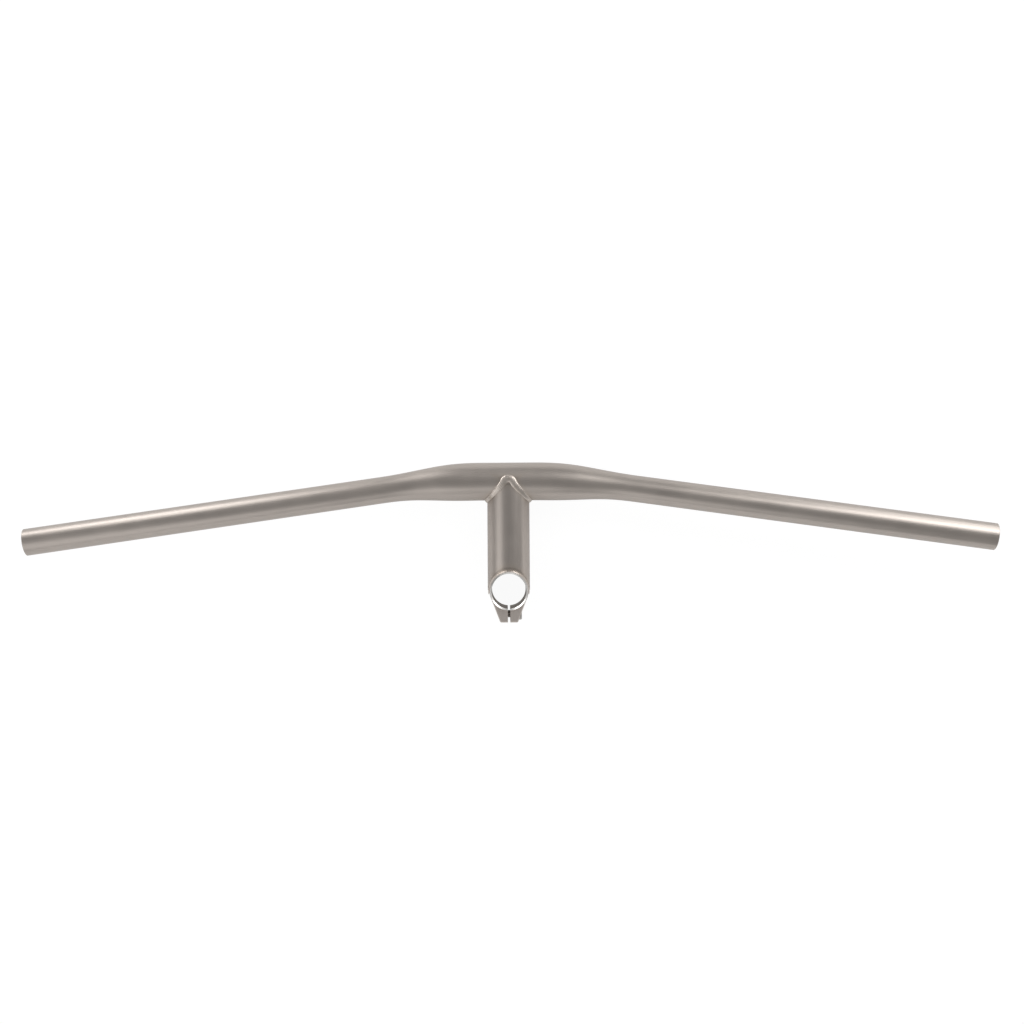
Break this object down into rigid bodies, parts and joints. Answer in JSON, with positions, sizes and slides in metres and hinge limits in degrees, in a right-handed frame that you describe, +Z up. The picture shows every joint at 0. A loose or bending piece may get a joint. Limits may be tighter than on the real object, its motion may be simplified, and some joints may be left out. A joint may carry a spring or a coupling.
{
  "type": "integrated handlebar stem",
  "caption": "Wide mountain-bike handlebar, swept back and tapered, welded through a short stem tube to a slotted steerer clamp with pinch bolts, in bare satin titanium.",
  "frame": {"origin": "on the steerer axis, level with the foot of the steerer clamp", "axes": "+Z up the steerer, +Y forward from the steerer to the bar, +X to the rider's right along the bar"},
  "size_m": [0.8, 0.1329, 0.0558],
  "materials": {
    "titanium_tube": "bare titanium, bead-blasted to a satin warm grey",
    "titanium_clamp": "bare titanium, satin, with bright machined rims",
    "weld_bead": "bright rippled weld metal",
    "bolt_metal": "titanium fasteners, satin grey"
  },
  "bodies": {
    "root": {"handlebar_tube": "titanium_tube", "stem_tube": "titanium_tube", "steerer_clamp": "titanium_clamp", "bar_weld": "weld_bead", "clamp_weld": "weld_bead", "pinch_bolts": "bolt_metal"}
  },
  "joints": []
}
